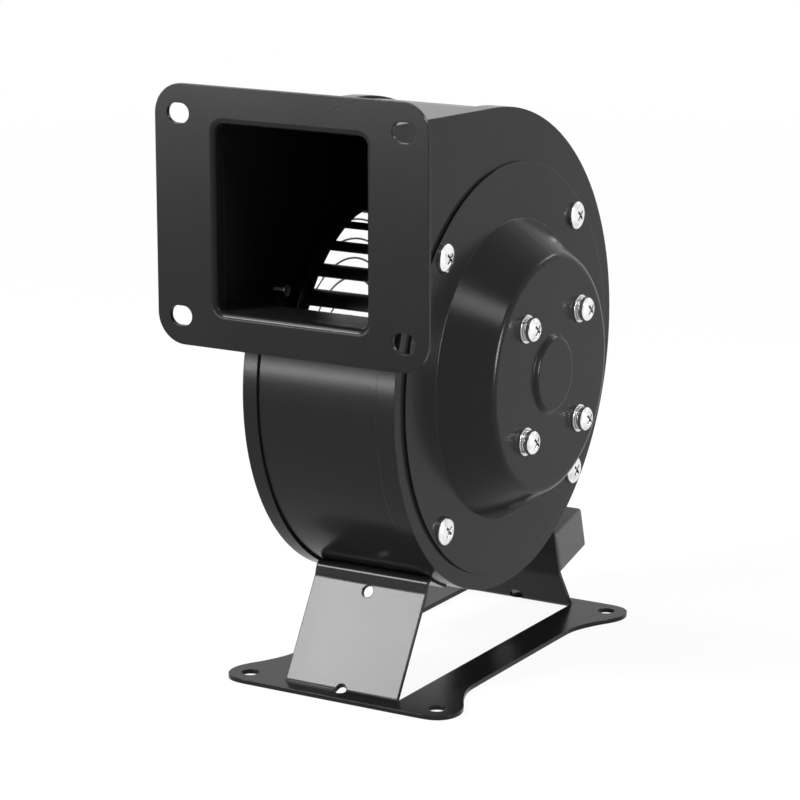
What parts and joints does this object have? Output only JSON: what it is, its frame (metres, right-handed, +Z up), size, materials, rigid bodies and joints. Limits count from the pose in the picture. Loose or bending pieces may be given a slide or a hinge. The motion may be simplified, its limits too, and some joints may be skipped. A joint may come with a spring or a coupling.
{
  "type": "centrifugal fan",
  "caption": "Centrifugal fan with a scroll housing, a flanged rectangular outlet, a forward-curved wheel on a motor under a dished cover, a wire inlet guard and a stamped foot bracket.",
  "frame": {"origin": "centre of the base bracket's bolt pattern, on the surface that the base stands on", "axes": "+X along the fan axis towards the motor cover, -Y out of the outlet, +Z up"},
  "size_m": [0.1, 0.1661, 0.204],
  "materials": {
    "black_paint": "satin",
    "wheel_paint": "satin",
    "bright_zinc": "polished",
    "cast_bracket": "cast",
    "bearing_steel": "ground",
    "core_steel": "laminated",
    "copper_winding": "varnished winding",
    "capacitor_plastic": "matt",
    "grommet_rubber": "matt",
    "guard_wire": "plated wire"
  },
  "bodies": {
    "housing": {"base_bracket": "black_paint", "leg_rivets": "bright_zinc", "scroll_wrapper": "black_paint", "motor_side_plate": "black_paint", "inlet_side_plate": "black_paint", "outlet_flange": "black_paint", "motor_cover": "black_paint", "cover_screws": "bright_zinc", "motor_screws": "bright_zinc", "motor_flat_washers": "bright_zinc", "motor_spring_washers": "bright_zinc", "motor_rear_bracket": "cast_bracket", "motor_front_bracket": "cast_bracket", "bearing_rear": "bearing_steel", "bearing_front": "bearing_steel", "stator_core": "core_steel", "stator_windings": "copper_winding", "capacitor": "capacitor_plastic", "capacitor_washer": "bright_zinc", "capacitor_nut": "bright_zinc", "cable_grommet": "grommet_rubber", "inlet_guard": "guard_wire", "guard_screws": "bright_zinc"},
    "wheel": {"shaft": "bearing_steel", "shaft_clips": "bearing_steel", "rotor_core": "core_steel", "rotor_end_rings": "cast_bracket", "impeller_hub": "core_steel", "impeller_set_screw": "core_steel", "hub_rivets": "bright_zinc", "impeller_disc": "wheel_paint", "impeller_blades": "wheel_paint", "impeller_ring": "wheel_paint"}
  },
  "joints": [
    {"name": "impeller_spin", "type": "hinge", "parent": "housing", "child": "wheel", "pos_m": [0, 0, 0.102], "axis": [1, 0, 0], "continuous": true}
  ]
}
